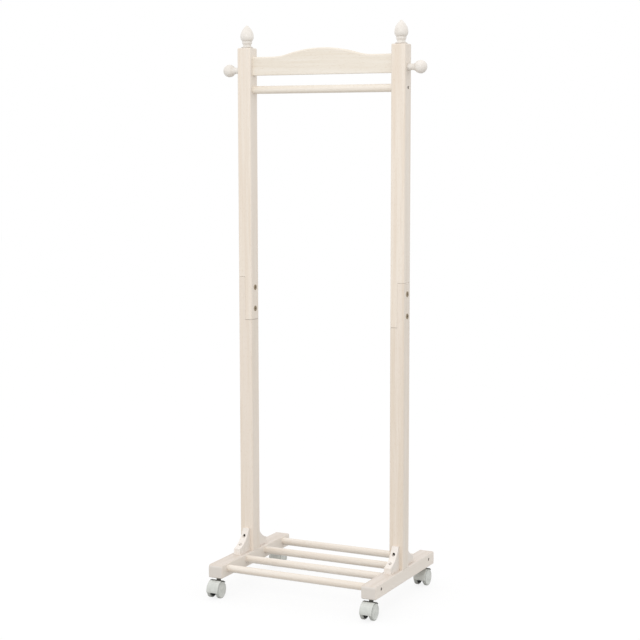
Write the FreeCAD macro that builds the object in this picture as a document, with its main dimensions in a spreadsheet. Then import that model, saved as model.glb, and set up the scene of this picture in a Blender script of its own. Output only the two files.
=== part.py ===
import FreeCAD, Part
import math
import os
import re
import Sketcher
from FreeCAD import Placement, Rotation, Vector

# A wooden clothes rack on four twin-wheel casters, in millimetres.
# The origin is on the floor under the middle of the frame, X runs to the right, -Y is the front, +Z is up.

# Driving sizes, each written once.
SIZES = {
    # posts
    "frame_span": 508.0,
    "post_width": 42.0,
    "post_depth": 42.0,
    "post_height": 1423.0,
    "post_round": 5.0,
    "post_top_round": 3.0,
    # half-lap in each post, measured from the top of the runner
    "lap_foot": 666.0,
    "lap_length": 122.0,
    "lap_gap": 0.5,
    "lap_edge_round": 1.2,
    "lap_bolt_pitch": 60.0,
    "lap_bolt_diameter": 6.0,
    "lap_bolt_short": 10.0,
    "lap_bolt_tip_room": 3.0,
    "lap_sleeve_diameter": 8.0,
    "lap_sleeve_short": 12.0,
    "lap_head_diameter": 15.0,
    "lap_head_height": 1.0,
    "lap_head_round": 0.5,
    "key_flats": 4.0,
    "key_depth": 1.6,
    # foot runners
    "runner_width": 42.0,
    "runner_height": 37.0,
    "runner_length": 408.0,
    "runner_end_round": 8.0,
    "runner_foot_round": 4.0,
    "runner_edge_round": 2.5,
    "foot_dowel_diameter": 8.0,
    "foot_dowel_bite": 15.0,
    "foot_dowel_pitch": 18.0,
    # crest rail, measured down from the post tops
    "crest_drop": 24.7,
    "crest_height": 51.0,
    "crest_rise": 21.5,
    "crest_thickness": 16.0,
    "crest_arch_reach": 152.0,
    "crest_turn_reach": 104.0,
    "crest_top_round": 5.0,
    "crest_edge_round": 2.0,
    "crest_dowel_diameter": 8.0,
    "crest_dowel_bite": 15.0,
    "crest_dowel_drop": 12.0,
    # rods
    "hanger_rod_diameter": 22.0,
    "hanger_drop": 115.0,
    "hanger_socket": 12.0,
    "shelf_rod_diameter": 21.0,
    "shelf_rod_inset": 39.0,
    "shelf_rod_rise": 21.5,
    "shelf_socket": 14.0,
    # wood screws
    "screw_head_diameter": 8.5,
    "screw_head_height": 3.0,
    "screw_head_room": 0.25,
    "screw_shank_diameter": 4.5,
    "screw_tip_length": 5.0,
    "rod_screw_sink": 4.0,
    "rod_screw_bite": 22.0,
    # finials, heights above the post top
    "finial_tenon_diameter": 10.0,
    "finial_tenon_length": 20.0,
    "finial_tenon_room": 1.0,
    "finial_base_radius": 16.5,
    "finial_base_height": 3.0,
    "finial_base_round": 1.2,
    "finial_neck_radius": 11.2,
    "finial_neck_height": 8.0,
    "finial_bead_foot_radius": 11.9,
    "finial_bead_foot_height": 11.0,
    "finial_bead_head_radius": 13.8,
    "finial_bead_head_height": 18.6,
    "finial_bead_round": 8.0,
    "finial_groove_radius": 13.2,
    "finial_groove_height": 19.4,
    "finial_bulb_radius": 18.6,
    "finial_bulb_height": 30.8,
    "finial_tip_radius": 5.0,
    "finial_tip_height": 59.0,
    "finial_height": 62.5,
    # coat pegs, reaches from the outer face of the post
    "peg_drop": 61.0,
    "peg_base_radius": 10.3,
    "peg_neck_radius": 8.5,
    "peg_neck_reach": 11.0,
    "peg_ball_root_radius": 10.6,
    "peg_ball_radius": 17.6,
    "peg_ball_reach": 35.2,
    "peg_bolt_diameter": 6.0,
    "peg_bolt_bite": 22.0,
    "peg_bolt_crest_bite": 32.0,
    # braces at the post feet
    "brace_width": 20.0,
    "brace_height": 65.0,
    "brace_reach": 58.5,
    "brace_toe_height": 17.5,
    "brace_head_depth": 6.5,
    "brace_cove_radius": 72.0,
    "brace_edge_round": 1.2,
    "brace_post_screw_rise": 45.0,
    "brace_post_seat": 7.0,
    "brace_post_bite": 14.0,
    "brace_runner_screw_reach": 39.0,
    "brace_runner_seat": 8.0,
    "brace_runner_bite": 20.0,
    # casters
    "caster_height": 56.0,
    "caster_inset": 20.0,
    "caster_trail": 13.0,
    "wheel_diameter": 46.0,
    "wheel_width": 9.5,
    "wheel_gap": 18.0,
    "wheel_edge_round": 2.0,
    "wheel_rim_width": 3.0,
    "wheel_face_recess": 0.8,
    "wheel_hub_radius": 6.5,
    "wheel_skin": 2.0,
    "wheel_proud": 0.8,
    "axle_diameter": 6.0,
    "axle_play": 0.05,
    "axle_end_room": 0.5,
    "core_side_gap": 0.5,
    "core_cheek_radius": 19.5,
    "core_cheek_thickness": 1.6,
    "core_slot_drop": 4.0,
    "core_boss_diameter": 12.0,
    "core_boss_drop": 5.0,
    "core_boss_length": 24.0,
    "hood_gap": 1.5,
    "hood_wall": 1.8,
    "hood_edge_round": 0.8,
    "hood_back_angle": 98.0,
    "hood_front_angle": 190.0,
    "hood_seam_angle": 0.6,
    "fender_back_angle": 44.0,
    "stem_diameter": 8.0,
    "stem_play": 0.08,
    "stem_seat": 18.0,
    "stem_bite": 26.0,
    "stem_collar_diameter": 13.0,
    "swivel_play": 0.3,
    "socket_diameter": 11.0,
    "socket_length": 28.0,
    "socket_flange_diameter": 16.0,
    "socket_flange_height": 1.5,
    "socket_room": 1.0,
}

# The rods of the low shelf from front to back; the first and the last are screwed to the runners.
SHELF_RODS = ("front", "mid_front", "mid_back", "back")
SCREWED_RODS = (0, len(SHELF_RODS) - 1)

# Places and sizes worked out from the driving sizes.
LAYOUT = {
    "post_x": "frame_span / 2 - post_width / 2",
    "post_half_width": "post_width / 2",
    "post_half_depth": "post_depth / 2",
    "runner_top": "caster_height + runner_height",
    "runner_half_width": "runner_width / 2",
    "runner_half_length": "runner_length / 2",
    "post_top": "runner_top + post_height",
    "lap_head": "lap_foot + lap_length",
    "lap_middle": "lap_foot + lap_length / 2",
    "lap_bolt_length": "post_width - lap_bolt_short",
    "lap_sleeve_length": "post_width - lap_sleeve_short",
    "lap_sleeve_bore": "lap_sleeve_length - lap_bolt_short + lap_bolt_tip_room",
    "inner_half_span": "post_x - post_half_width",
    "runner_inner_x": "post_x - runner_half_width",
    "shelf_rod_pitch": f"(runner_length - 2 * shelf_rod_inset) / {len(SHELF_RODS) - 1}",
    "shelf_rod_level": "caster_height + shelf_rod_rise",
    "crest_foot": "post_top - crest_drop - crest_height",
    "crest_turn_height": "crest_height + crest_rise * (1 - crest_turn_reach / crest_arch_reach)",
    "crest_dowel_rise": "crest_height - crest_dowel_drop",
    "peg_rise": "crest_height + crest_drop - peg_drop",
    "screw_sink_diameter": "screw_head_diameter + 2 * screw_head_room",
    "rod_screw_recess": "rod_screw_sink - screw_head_height",
    "shelf_screw_length": "runner_width - rod_screw_sink - shelf_socket + screw_head_height + rod_screw_bite",
    "hanger_screw_length": "post_width - rod_screw_sink - hanger_socket + screw_head_height + rod_screw_bite",
    "brace_post_screw_length": "screw_head_height + brace_post_seat + brace_post_bite",
    "brace_runner_screw_length": "screw_head_height + brace_runner_seat + brace_runner_bite",
    "peg_bolt_length": "peg_bolt_bite + post_width + peg_bolt_crest_bite",
    "peg_ball_root_reach": "peg_ball_reach - sqrt(peg_ball_radius ^ 2 - peg_ball_root_radius ^ 2)",
    "caster_y": "runner_half_length - caster_inset",
    "wheel_radius": "wheel_diameter / 2",
    "wheel_inner_x": "wheel_gap / 2",
    "wheel_outer_x": "wheel_gap / 2 + wheel_width",
    "wheel_rim_radius": "wheel_radius - wheel_edge_round",
    "wheel_dish_radius": "wheel_rim_radius - wheel_rim_width",
    "wheel_bore_radius": "axle_diameter / 2 + axle_play",
    "axle_length": "2 * (wheel_outer_x - wheel_skin - axle_end_room)",
    "core_width": "wheel_gap - 2 * core_side_gap",
    "core_radius": "wheel_radius + hood_gap",
    "core_slot_half": "core_width / 2 - core_cheek_thickness",
    "core_top": "caster_height - core_boss_drop",
    "hood_radius": "core_radius + hood_wall",
    "hood_width": "2 * (wheel_outer_x - wheel_proud)",
    "stem_collar_height": "core_boss_drop - socket_flange_height - swivel_play",
}

SHEET_OF = {**{name: "Sizes" for name in SIZES}, **{name: "Layout" for name in LAYOUT}}

# Turns that point a fastener's head, built facing up, towards a side of the rack.
HEAD_UP = Rotation()
HEAD_RIGHT = Rotation(Vector(0, 1, 0), 90)
HEAD_LEFT = Rotation(Vector(0, 1, 0), -90)
HEAD_FRONT = Rotation(Vector(1, 0, 0), 90)
HEAD_BACK = Rotation(Vector(1, 0, 0), -90)

# The two sides of the rack: name, sign of X, and the turn about Z that makes local +X point outwards.
SIDES = (("right", 1, 0.0), ("left", -1, 180.0))

NEAR = 0.01

doc = FreeCAD.newDocument("clothes_rack")
pieces = []


def cells(expression):
    """Expression in which each size's name is led by the sheet that holds it."""
    return re.sub(r"[a-z][a-z_]+", lambda word: f"{SHEET_OF[word[0]]}.{word[0]}"
                  if word[0] in SHEET_OF else word[0], str(expression))


def make_sheets():
    """Spreadsheets of the driving sizes and of the layout worked out from them."""
    sizes = doc.addObject("Spreadsheet::Sheet", "Sizes")
    for row, (name, number) in enumerate(SIZES.items(), 1):
        sizes.set(f"A{row}", name)
        sizes.set(f"B{row}", str(number))
        sizes.setAlias(f"B{row}", name)
    layout = doc.addObject("Spreadsheet::Sheet", "Layout")
    for row, (name, formula) in enumerate(LAYOUT.items(), 1):
        layout.set(f"A{row}", name)
        layout.setAlias(f"B{row}", name)
        layout.set(f"B{row}", "=" + cells(formula))
    doc.recompute()
    return layout


layout_sheet = make_sheets()


def value(expression):
    """Number that an expression of sizes gives now."""
    return float(layout_sheet.evalExpression(cells(expression)))


def bind(thing, setting, expression):
    thing.setExpression(setting, cells(expression))


def signed(sign, expression):
    return f"-({expression})" if sign < 0 else f"({expression})"


def place(thing, x="0", y="0", z="0", turn=HEAD_UP):
    """Put an object at a point of the rack given by expressions, with a fixed turn."""
    thing.Placement = Placement(Vector(), turn)
    for axis, expression in zip("xyz", (x, y, z)):
        bind(thing, f"Placement.Base.{axis}", expression)


def about_z(degrees):
    return Rotation(Vector(0, 0, 1), degrees)


def keep(thing):
    """Count an object as a sub-part of the rack."""
    pieces.append(thing)
    return thing


def new_body(label):
    body = doc.addObject("PartDesign::Body", label)
    body.Label = label
    return body


def new_sketch(body, label, plane, level="0"):
    """Empty sketch on an origin plane of its own body, moved along the plane's normal."""
    sketch = body.newObject("Sketcher::SketchObject", label)
    planes = {feature.Role: feature for feature in body.Origin.OriginFeatures}
    sketch.AttachmentSupport = (planes[plane], [""])
    sketch.MapMode = "FlatFace"
    bind(sketch, "AttachmentOffset.Base.z", level)
    return sketch


def measure(sketch, kind, geometry, expression, vertex=None):
    """Constraint of a sketch whose size follows an expression; a zero place lies on an axis."""
    if vertex is not None and str(expression) == "0":
        axis = -2 if kind == "DistanceX" else -1
        sketch.addConstraint(Sketcher.Constraint("PointOnObject", geometry, vertex, axis))
        return
    number = value(expression)
    spot = (-1, 1, geometry, vertex, number) if vertex is not None else (geometry, number)
    index = sketch.addConstraint(Sketcher.Constraint(kind, *spot))
    bind(sketch, f"Constraints[{index}]", expression)


def arc_between(start, end, radius, turn):
    """Arc of under a half circle from start to end; turn is 1 to the left and -1 to the right."""
    chord = end - start
    lift = math.sqrt(max(radius ** 2 - (chord.Length / 2) ** 2, 0.0))
    side = Vector(-chord.y, chord.x, 0).normalize()
    centre = (start + end) / 2 + side * lift * turn
    first, last = (start, end) if turn > 0 else (end, start)
    angles = [math.atan2(point.y - centre.y, point.x - centre.x) for point in (first, last)]
    return Part.ArcOfCircle(Part.Circle(centre, Vector(0, 0, 1), radius), *angles)


def outline(body, label, plane, points, arcs=None, level="0"):
    """Closed sketch through points given as expressions.

    arcs maps the number of a side to its radius and turn; the other sides are straight.
    """
    arcs = arcs or {}
    sketch = new_sketch(body, label, plane, level)
    spots = [Vector(value(x), value(y), 0) for x, y in points]
    count = len(points)
    first_vertex = []
    for side in range(count):
        start, end = spots[side], spots[(side + 1) % count]
        if side in arcs:
            radius, turn = arcs[side]
            sketch.addGeometry(arc_between(start, end, value(radius), turn), False)
            first_vertex.append(1 if turn > 0 else 2)
        else:
            sketch.addGeometry(Part.LineSegment(start, end), False)
            first_vertex.append(1)
    for side in range(count):
        after = (side + 1) % count
        sketch.addConstraint(
            Sketcher.Constraint("Coincident", side, 3 - first_vertex[side], after, first_vertex[after]))
    for side, (x, y) in enumerate(points):
        measure(sketch, "DistanceX", side, x, first_vertex[side])
        measure(sketch, "DistanceY", side, y, first_vertex[side])
    for side, (radius, _) in arcs.items():
        measure(sketch, "Radius", side, radius)
    return sketch


def pad(body, sketch, length, both_ways=False):
    feature = body.newObject("PartDesign::Pad", sketch.Label + "_pad")
    feature.Profile = sketch
    feature.SideType = "Symmetric" if both_ways else "One side"
    bind(feature, "Length", length)
    doc.recompute()
    return feature


def pocket(body, sketch, depth, against=False):
    """Cut a sketch into its body, against the sketch's normal or along it, and see that it cut."""
    before = body.Shape.Volume
    feature = body.newObject("PartDesign::Pocket", sketch.Label + "_cut")
    feature.Profile = sketch
    feature.Reversed = against
    bind(feature, "Length", depth)
    doc.recompute()
    if body.Shape.Volume > before - NEAR:
        raise RuntimeError(f"{feature.Label} cuts nothing")
    return feature


def bores(body, label, plane, level, spots, diameter, depth, against=False):
    """Round blind holes of one size, drilled from a plane of the body."""
    sketch = new_sketch(body, label, plane, level)
    for number, (x, y) in enumerate(spots):
        middle = Vector(value(x), value(y), 0)
        sketch.addGeometry(Part.Circle(middle, Vector(0, 0, 1), value(diameter) / 2), False)
        measure(sketch, "DistanceX", number, x, 3)
        measure(sketch, "DistanceY", number, y, 3)
        measure(sketch, "Diameter", number, diameter)
    return pocket(body, sketch, depth, against)


def round_edges(body, label, radius, chosen):
    """Fillet the edges of the body's tip that chosen says yes to."""
    base = body.Tip
    names = [f"Edge{number}" for number, edge in enumerate(base.Shape.Edges, 1) if chosen(edge)]
    feature = body.newObject("PartDesign::Fillet", label)
    feature.Base = (base, names)
    bind(feature, "Radius", radius)
    doc.recompute()
    return feature


def runs_along(edge, axis):
    """Whether an edge is a straight run along the axis of that number."""
    ends = [vertex.Point for vertex in edge.Vertexes]
    if len(ends) != 2 or not isinstance(edge.Curve, (Part.Line, Part.LineSegment)):
        return False
    return all(abs(ends[0][other] - ends[1][other]) < NEAR for other in range(3) if other != axis)


def lies_at(edge, axis, level):
    """Whether all of an edge lies at a level of the axis of that number."""
    box = edge.BoundBox
    low = (box.XMin, box.YMin, box.ZMin)[axis]
    high = (box.XMax, box.YMax, box.ZMax)[axis]
    return abs(low - level) < NEAR and abs(high - level) < NEAR


def turned(label, plane, axis, points, arcs=None):
    """Body turned on a lathe: an outline revolved about an axis of its sketch."""
    body = new_body(label)
    sketch = outline(body, label + "_profile", plane, points, arcs)
    feature = body.newObject("PartDesign::Revolution", label + "_turning")
    feature.Profile = sketch
    feature.ReferenceAxis = (sketch, [axis])
    feature.Angle = 360.0
    doc.recompute()
    return body


def swell(across, along):
    """Radius of an arc that leaves a line square to across and moves by across and along."""
    return f"(({across}) ^ 2 + ({along}) ^ 2) / (2 * ({across}))"


def rod(label, diameter, length):
    """Plain round bar, built up from its origin."""
    bar = doc.addObject("Part::Cylinder", label)
    bar.Label = label
    bind(bar, "Radius", f"({diameter}) / 2")
    bind(bar, "Height", length)
    return bar


def group(label, master, seats):
    """Copies of one fastener, each a separate solid, as one sub-part."""
    copies = []
    for number, (x, y, z, turn) in enumerate(seats, 1):
        copy = doc.addObject("App::Link", f"{label}_{number}")
        copy.LinkedObject = master
        place(copy, x, y, z, turn)
        copies.append(copy)
    compound = doc.addObject("Part::Compound", label)
    compound.Label = label
    compound.Links = copies
    return keep(compound)


def key_recess(body, label, level="0"):
    """Six-sided key recess in the top of a fastener's head, with two corners on the sketch's Y axis."""
    across, corner = "key_flats / 2", "key_flats / sqrt(3)"
    points = [("0", corner), (f"-{across}", f"{corner} / 2"), (f"-{across}", f"-{corner} / 2"),
              ("0", f"-{corner}"), (across, f"-{corner} / 2"), (across, f"{corner} / 2")]
    return pocket(body, outline(body, label, "XY_Plane", points, level=level), "key_depth")


def post_blank(body, label, foot, top):
    """Square post length with softened long edges."""
    corners = [("-post_half_width", "-post_half_depth"), ("post_half_width", "-post_half_depth"),
               ("post_half_width", "post_half_depth"), ("-post_half_width", "post_half_depth")]
    pad(body, outline(body, label, "XY_Plane", corners, level=foot), f"({top}) - ({foot})")


def lap_cut(body, label, inner_x, outer_x, level, tongue_end, against):
    """Take away half of a post over the length of the lap, and ease the edges of the tongue that is left."""
    corners = [(inner_x, "-post_depth"), (outer_x, "-post_depth"),
               (outer_x, "post_depth"), (inner_x, "post_depth")]
    pocket(body, outline(body, label, "XY_Plane", corners, level=level), "lap_length", against)
    end = value(tongue_end)
    round_edges(body, label + "_edges", "lap_edge_round",
                lambda edge: lies_at(edge, 2, end) or runs_along(edge, 2) and lies_at(edge, 0, 0.0))


def lap_bolt_holes(body, label):
    spots = [("0", f"lap_middle + {sign} * lap_bolt_pitch / 2") for sign in (1, -1)]
    bores(body, label, "YZ_Plane", "post_half_width", spots, "lap_sleeve_diameter", "post_width")


def make_upper_post(side, sign, turn):
    """Upper post length: inner tongue at its foot, sockets for finial, crest rail, hanger rod and peg."""
    body = new_body(f"post_upper_{side}")
    foot, top = "lap_foot + lap_gap", value("post_height")
    post_blank(body, f"upper_section_{side}", foot, "post_height")
    round_edges(body, f"upper_edges_{side}", "post_round", lambda edge: runs_along(edge, 2))
    round_edges(body, f"upper_top_edges_{side}", "post_top_round", lambda edge: lies_at(edge, 2, top))
    lap_cut(body, f"upper_lap_{side}", "0", "post_width", "lap_head", foot, against=False)
    lap_bolt_holes(body, f"upper_lap_holes_{side}")
    bores(body, f"finial_hole_{side}", "XY_Plane", "post_height", [("0", "0")], "finial_tenon_diameter",
          "finial_tenon_length + finial_tenon_room")
    hanger = [("0", "post_height - hanger_drop")]
    bores(body, f"hanger_socket_{side}", "YZ_Plane", "-post_half_width", hanger, "hanger_rod_diameter",
          "hanger_socket", against=True)
    bores(body, f"hanger_screw_sink_{side}", "YZ_Plane", "post_half_width", hanger, "screw_sink_diameter",
          "rod_screw_sink")
    bores(body, f"hanger_screw_hole_{side}", "YZ_Plane", "post_half_width", hanger, "screw_shank_diameter",
          "post_width - hanger_socket")
    bores(body, f"peg_hole_{side}", "YZ_Plane", "post_half_width", [("0", "post_height - peg_drop")],
          "peg_bolt_diameter", "post_width")
    bores(body, f"crest_dowel_hole_{side}", "YZ_Plane", "-post_half_width",
          [("0", "post_height - crest_drop - crest_dowel_drop")], "crest_dowel_diameter", "crest_dowel_bite",
          against=True)
    place(body, signed(sign, "post_x"), "0", "runner_top", about_z(turn))
    keep(body)


def make_lower_post(side, sign, turn):
    """Lower post length: outer tongue at its head, holes for foot dowels and brace screws."""
    body = new_body(f"post_lower_{side}")
    head = "lap_head - lap_gap"
    post_blank(body, f"lower_section_{side}", "0", head)
    round_edges(body, f"lower_edges_{side}", "post_round", lambda edge: runs_along(edge, 2))
    lap_cut(body, f"lower_lap_{side}", "-post_width", "0", "lap_foot", head, against=True)
    lap_bolt_holes(body, f"lower_lap_holes_{side}")
    dowels = [("0", f"{sign_y} * foot_dowel_pitch / 2") for sign_y in (1, -1)]
    bores(body, f"post_dowel_holes_{side}", "XY_Plane", "0", dowels, "foot_dowel_diameter", "foot_dowel_bite",
          against=True)
    screw = [("0", "brace_post_screw_rise")]
    bores(body, f"front_brace_hole_{side}", "XZ_Plane", "post_half_depth", screw, "screw_shank_diameter",
          "brace_post_bite")
    bores(body, f"back_brace_hole_{side}", "XZ_Plane", "-post_half_depth", screw, "screw_shank_diameter",
          "brace_post_bite", against=True)
    place(body, signed(sign, "post_x"), "0", "runner_top", about_z(turn))
    keep(body)


def make_finial(side, sign):
    """Turned finial: tenon, coved base, neck, bead and a pointed bulb."""
    points = [
        ("0", "-finial_tenon_length"),
        ("finial_tenon_diameter / 2", "-finial_tenon_length"),
        ("finial_tenon_diameter / 2", "0"),
        ("finial_base_radius - finial_base_round", "0"),
        ("finial_base_radius", "finial_base_round"),
        ("finial_base_radius", "finial_base_height"),
        ("finial_neck_radius", "finial_neck_height"),
        ("finial_bead_foot_radius", "finial_bead_foot_height"),
        ("finial_bead_head_radius", "finial_bead_head_height"),
        ("finial_groove_radius", "finial_groove_height"),
        ("finial_bulb_radius", "finial_bulb_height"),
        ("finial_tip_radius", "finial_tip_height"),
        ("0", "finial_height"),
    ]
    arcs = {
        3: ("finial_base_round", 1),
        5: (swell("finial_base_radius - finial_neck_radius", "finial_neck_height - finial_base_height"), -1),
        6: (swell("finial_bead_foot_radius - finial_neck_radius",
                  "finial_bead_foot_height - finial_neck_height"), -1),
        7: ("finial_bead_round", 1),
        9: (swell("finial_bulb_radius - finial_groove_radius",
                  "finial_bulb_height - finial_groove_height"), 1),
        10: (swell("finial_bulb_radius - finial_tip_radius", "finial_tip_height - finial_bulb_height"), 1),
        11: (swell("finial_height - finial_tip_height", "finial_tip_radius"), 1),
    }
    body = turned(f"finial_{side}", "XZ_Plane", "V_Axis", points, arcs)
    place(body, signed(sign, "post_x"), "0", "post_top")
    keep(body)


def make_peg(side, sign, turn):
    """Turned coat peg with a ball end, bored at its root for the hanger bolt."""
    points = [
        ("0", "0"),
        ("peg_ball_reach + peg_ball_radius", "0"),
        ("peg_ball_root_reach", "peg_ball_root_radius"),
        ("peg_neck_reach", "peg_neck_radius"),
        ("0", "peg_base_radius"),
    ]
    arcs = {
        1: ("peg_ball_radius", 1),
        2: (swell("peg_ball_root_radius - peg_neck_radius", "peg_ball_root_reach - peg_neck_reach"), -1),
        3: (swell("peg_base_radius - peg_neck_radius", "peg_neck_reach"), -1),
    }
    body = turned(f"coat_peg_{side}", "XZ_Plane", "H_Axis", points, arcs)
    bores(body, f"peg_bore_{side}", "YZ_Plane", "0", [("0", "0")], "peg_bolt_diameter", "peg_bolt_bite",
          against=True)
    place(body, signed(sign, "post_x + post_half_width"), "0", "crest_foot + peg_rise", about_z(turn))
    keep(body)


def make_crest_rail():
    """Board between the posts with a straight foot and a head that rises in an ogee to the middle."""
    body = new_body("crest_rail")
    points = [
        ("-inner_half_span", "0"),
        ("inner_half_span", "0"),
        ("inner_half_span", "crest_height"),
        ("crest_arch_reach", "crest_height"),
        ("crest_turn_reach", "crest_turn_height"),
        ("0", "crest_height + crest_rise"),
        ("-crest_turn_reach", "crest_turn_height"),
        ("-crest_arch_reach", "crest_height"),
        ("-inner_half_span", "crest_height"),
    ]
    hollow = swell("crest_turn_height - crest_height", "crest_arch_reach - crest_turn_reach")
    crown = swell("crest_height + crest_rise - crest_turn_height", "crest_turn_reach")
    arcs = {3: (hollow, -1), 4: (crown, 1), 5: (crown, 1), 6: (hollow, -1)}
    pad(body, outline(body, "crest_outline", "XZ_Plane", points, arcs), "crest_thickness", both_ways=True)
    half, end = value("crest_thickness") / 2, value("inner_half_span")
    faces = (-half, half)
    round_edges(body, "crest_top_edges", "crest_top_round",
                lambda edge: any(lies_at(edge, 1, face) for face in faces) and edge.BoundBox.ZMin > NEAR
                and not any(lies_at(edge, 0, x) for x in (-end, end)))
    round_edges(body, "crest_foot_edges", "crest_edge_round",
                lambda edge: lies_at(edge, 2, 0.0) and any(lies_at(edge, 1, face) for face in faces))
    for side, sign, _ in SIDES:
        level = signed(sign, "inner_half_span")
        bores(body, f"crest_bolt_hole_{side}", "YZ_Plane", level, [("0", "peg_rise")], "peg_bolt_diameter",
              "peg_bolt_crest_bite", against=sign < 0)
        bores(body, f"crest_end_dowel_hole_{side}", "YZ_Plane", level, [("0", "crest_dowel_rise")],
              "crest_dowel_diameter", "crest_dowel_bite", against=sign < 0)
    place(body, z="crest_foot")
    keep(body)


def make_rod(label, diameter, half_length, y, z, screwed):
    """Round rod along X, with a screw hole in each end where a screw holds it."""
    bar = rod(label if not screwed else label + "_bar", diameter, f"2 * ({half_length})")
    place(bar, f"-({half_length})", y, z, HEAD_RIGHT)
    if not screwed:
        keep(bar)
        return
    holes = []
    for side, sign, _ in SIDES:
        hole = rod(f"{label}_hole_{side}", "screw_shank_diameter", "rod_screw_bite")
        start = f"-({half_length})" if sign < 0 else f"({half_length}) - rod_screw_bite"
        place(hole, start, y, z, HEAD_RIGHT)
        holes.append(hole)
    both = doc.addObject("Part::MultiFuse", label + "_holes")
    both.Shapes = holes
    drilled = doc.addObject("Part::Cut", label)
    drilled.Label = label
    drilled.Base = bar
    drilled.Tool = both
    keep(drilled)


def shelf_rod_y(number):
    """Place of a shelf rod, counted from the front."""
    return f"shelf_rod_inset - runner_half_length + {number} * shelf_rod_pitch"


def make_rods():
    make_rod("hanger_rod", "hanger_rod_diameter", "inner_half_span + hanger_socket", "0",
             "post_top - hanger_drop", screwed=True)
    for number, name in enumerate(SHELF_RODS):
        make_rod(f"shelf_rod_{name}", "shelf_rod_diameter", "runner_inner_x + shelf_socket",
                 shelf_rod_y(number), "shelf_rod_level", screwed=number in SCREWED_RODS)


def make_runner(side, sign, turn):
    """Foot runner with rounded top ends, drilled for rods, screws, dowels and caster sockets."""
    body = new_body(f"foot_runner_{side}")
    end, top, foot = "runner_half_length", "runner_height", "runner_foot_round"
    points = [
        (f"-{end} + {foot}", "0"), (f"{end} - {foot}", "0"), (end, foot), (end, f"{top} - runner_end_round"),
        (f"{end} - runner_end_round", top), (f"-{end} + runner_end_round", top),
        (f"-{end}", f"{top} - runner_end_round"), (f"-{end}", foot),
    ]
    arcs = {1: (foot, 1), 3: ("runner_end_round", 1), 5: ("runner_end_round", 1), 7: (foot, 1)}
    pad(body, outline(body, f"runner_outline_{side}", "YZ_Plane", points, arcs), "runner_width",
        both_ways=True)
    half = value("runner_half_width")
    round_edges(body, f"runner_edges_{side}", "runner_edge_round",
                lambda edge: lies_at(edge, 0, half) or lies_at(edge, 0, -half))
    rods = [(shelf_rod_y(number), "shelf_rod_rise") for number in range(len(SHELF_RODS))]
    ends = [rods[number] for number in SCREWED_RODS]
    bores(body, f"rod_sockets_{side}", "YZ_Plane", "-runner_half_width", rods, "shelf_rod_diameter",
          "shelf_socket", against=True)
    bores(body, f"rod_screw_sinks_{side}", "YZ_Plane", "runner_half_width", ends, "screw_sink_diameter",
          "rod_screw_sink")
    bores(body, f"rod_screw_holes_{side}", "YZ_Plane", "runner_half_width", ends, "screw_shank_diameter",
          "runner_width - shelf_socket")
    dowels = [("0", f"{sign_y} * foot_dowel_pitch / 2") for sign_y in (1, -1)]
    bores(body, f"runner_dowel_holes_{side}", "XY_Plane", "runner_height", dowels, "foot_dowel_diameter",
          "foot_dowel_bite")
    screws = [("0", signed(sign_y, "post_half_depth + brace_runner_screw_reach")) for sign_y in (1, -1)]
    bores(body, f"runner_brace_holes_{side}", "XY_Plane", "runner_height", screws, "screw_shank_diameter",
          "brace_runner_bite")
    stems = [("0", signed(sign_y, "caster_y")) for sign_y in (1, -1)]
    bores(body, f"runner_socket_holes_{side}", "XY_Plane", "0", stems, "socket_diameter",
          "socket_length + socket_room", against=True)
    place(body, signed(sign, "post_x"), "0", "caster_height", about_z(turn))
    keep(body)


def make_brace(name, sign_x, sign_y):
    """Coved brace between post and runner; local -Y points away from the post."""
    body = new_body(name)
    points = [
        ("0", "0"), ("0", "brace_height"), ("-brace_head_depth", "brace_height"),
        ("-brace_reach", "brace_toe_height"), ("-brace_reach", "0"),
    ]
    profile = outline(body, f"{name}_outline", "YZ_Plane", points, {2: ("brace_cove_radius", -1)})
    pad(body, profile, "brace_width", both_ways=True)
    half = value("brace_width") / 2
    sides = (-half, half)
    round_edges(body, f"{name}_edges", "brace_edge_round",
                lambda edge: edge.BoundBox.YMin < -NEAR and edge.BoundBox.ZMax > NEAR
                and (any(lies_at(edge, 0, x) for x in sides) or runs_along(edge, 0)))
    rise = [("0", "brace_post_screw_rise")]
    bores(body, f"{name}_post_hole", "XZ_Plane", "0", rise, "screw_shank_diameter", "brace_post_seat",
          against=True)
    bores(body, f"{name}_post_sink", "XZ_Plane", "brace_post_seat", rise, "screw_sink_diameter",
          "brace_reach", against=True)
    reach = [("0", "-brace_runner_screw_reach")]
    bores(body, f"{name}_runner_hole", "XY_Plane", "0", reach, "screw_shank_diameter", "brace_runner_seat",
          against=True)
    bores(body, f"{name}_runner_sink", "XY_Plane", "brace_runner_seat", reach, "screw_sink_diameter",
          "brace_height", against=True)
    place(body, signed(sign_x, "post_x"), signed(sign_y, "post_half_depth"), "runner_top",
          about_z(0.0 if sign_y < 0 else 180.0))
    keep(body)


def make_braces():
    for side, sign_x, _ in SIDES:
        for end, sign_y in (("front", -1), ("back", 1)):
            make_brace(f"brace_{end}_{side}", sign_x, sign_y)


def wood_screw(label, length):
    """Wood screw with a flat round head and a pointed tip, head up, top of the head at its origin."""
    head, shank = "screw_head_diameter / 2", "screw_shank_diameter / 2"
    points = [
        ("0", "0"), ("0", f"-({length})"), (shank, f"-({length}) + screw_tip_length"),
        (shank, "-screw_head_height"), (head, "-screw_head_height"), (head, "0"),
    ]
    body = turned(label, "XZ_Plane", "V_Axis", points)
    key_recess(body, label + "_key")
    return body


def low_head(label, shank_points):
    """Turned fastener whose low head stands on the wood at its origin, with a soft rim and a key recess."""
    head = "lap_head_diameter / 2"
    points = [("0", "lap_head_height"), (f"{head} - lap_head_round", "lap_head_height"),
              (head, "lap_head_height - lap_head_round"), (head, "0")] + shank_points
    body = turned(label, "XZ_Plane", "V_Axis", points, {1: ("lap_head_round", -1)})
    key_recess(body, label + "_key", "lap_head_height")
    return body


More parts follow.
